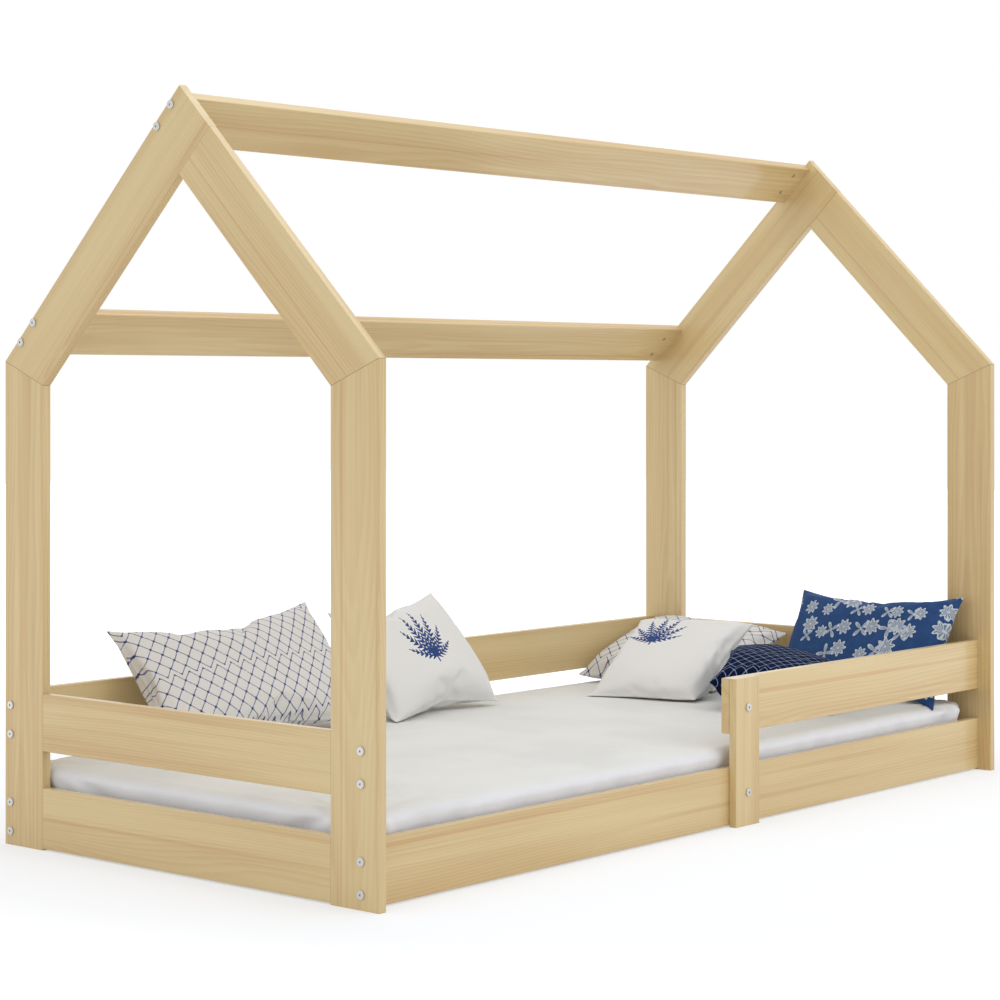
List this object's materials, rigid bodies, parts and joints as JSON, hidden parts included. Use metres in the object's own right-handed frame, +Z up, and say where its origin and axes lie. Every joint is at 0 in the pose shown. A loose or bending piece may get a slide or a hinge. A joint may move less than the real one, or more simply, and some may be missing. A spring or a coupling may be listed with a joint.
{
  "type": "house frame bed",
  "caption": "Low child's bed in a pitched house-shaped frame of flat pine boards, with gable ends, rails all round, a half-length guard, slats, a mattress and loose pillows.",
  "frame": {"origin": "on the floor, under the middle of the bed's overall box", "axes": "+X along the bed to the end with the guard, -Y to the open front side, +Z up"},
  "size_m": [2.043, 0.98, 1.411],
  "materials": {
    "lacquered_pine": "clear matt lacquer on planed pine",
    "planed_pine": "planed, unfinished",
    "beech_dowel": "fluted beech, glued",
    "nickel_steel": "bright nickel plate",
    "zinc_steel": "zinc plate",
    "woven_tape": "woven polyester tape",
    "cotton_sheet": "white fitted sheet",
    "lattice_cotton": "off-white cotton with a thin blue lattice",
    "sprig_cotton": "white cotton with one blue sprig",
    "leaf_cotton": "mid-blue cotton with pale leaf motifs",
    "navy_cotton": "navy cotton with a thin pale lattice"
  },
  "bodies": {
    "bed_frame": {"back_lower_rail": "lacquered_pine", "back_slat_bearer": "planed_pine", "back_slat_tape": "woven_tape", "back_upper_rail": "lacquered_pine", "bearer_screws": "zinc_steel", "eaves_board": "lacquered_pine", "front_lower_rail": "lacquered_pine", "front_slat_bearer": "planed_pine", "front_slat_tape": "woven_tape", "guard_bolts": "nickel_steel", "guard_rail": "lacquered_pine", "guard_sleeve_nuts": "nickel_steel", "guard_support": "lacquered_pine", "left_back_post": "lacquered_pine", "left_back_rafter": "lacquered_pine", "left_barrel_nuts": "nickel_steel", "left_frame_bolts": "nickel_steel", "left_frame_dowels": "beech_dowel", "left_front_post": "lacquered_pine", "left_front_rafter": "lacquered_pine", "left_lower_end_rail": "lacquered_pine", "left_upper_end_rail": "lacquered_pine", "ridge_board": "lacquered_pine", "right_back_post": "lacquered_pine", "right_back_rafter": "lacquered_pine", "right_barrel_nuts": "nickel_steel", "right_frame_bolts": "nickel_steel", "right_frame_dowels": "beech_dowel", "right_front_post": "lacquered_pine", "right_front_rafter": "lacquered_pine", "right_lower_end_rail": "lacquered_pine", "right_upper_end_rail": "lacquered_pine", "slat_01": "planed_pine", "slat_02": "planed_pine", "slat_03": "planed_pine", "slat_04": "planed_pine", "slat_05": "planed_pine", "slat_06": "planed_pine", "slat_07": "planed_pine", "slat_08": "planed_pine", "slat_09": "planed_pine", "slat_10": "planed_pine", "slat_11": "planed_pine", "slat_12": "planed_pine", "slat_13": "planed_pine", "slat_screws": "zinc_steel", "spare_hole_bolts": "nickel_steel", "spare_hole_nuts": "nickel_steel"},
    "mattress": {"mattress": "cotton_sheet"},
    "lattice_pillow_left": {"lattice_pillow_left": "lattice_cotton"},
    "sprig_pillow_left": {"sprig_pillow_left": "sprig_cotton"},
    "lattice_pillow_right": {"lattice_pillow_right": "lattice_cotton"},
    "sprig_pillow_right": {"sprig_pillow_right": "sprig_cotton"},
    "leaf_pillow_right": {"leaf_pillow_right": "leaf_cotton"},
    "navy_pillow_right": {"navy_pillow_right": "navy_cotton"}
  },
  "joints": [
    {"name": "mattress_lift", "type": "slide", "parent": "bed_frame", "child": "mattress", "axis": [0, 0, 1], "range_m": [0, 0.25]},
    {"name": "lattice_pillow_left_lift", "type": "slide", "parent": "mattress", "child": "lattice_pillow_left", "axis": [0, 0, 1], "range_m": [0, 0.2]},
    {"name": "sprig_pillow_left_lift", "type": "slide", "parent": "mattress", "child": "sprig_pillow_left", "axis": [0, 0, 1], "range_m": [0, 0.2]},
    {"name": "lattice_pillow_right_lift", "type": "slide", "parent": "mattress", "child": "lattice_pillow_right", "axis": [0, 0, 1], "range_m": [0, 0.2]},
    {"name": "leaf_pillow_right_lift", "type": "slide", "parent": "mattress", "child": "leaf_pillow_right", "axis": [0, 0, 1], "range_m": [0, 0.2]},
    {"name": "navy_pillow_right_lift", "type": "slide", "parent": "mattress", "child": "navy_pillow_right", "axis": [0, 0, 1], "range_m": [0, 0.2]},
    {"name": "sprig_pillow_right_lift", "type": "slide", "parent": "lattice_pillow_right", "child": "sprig_pillow_right", "axis": [0, 0, 1], "range_m": [0, 0.2]}
  ]
}
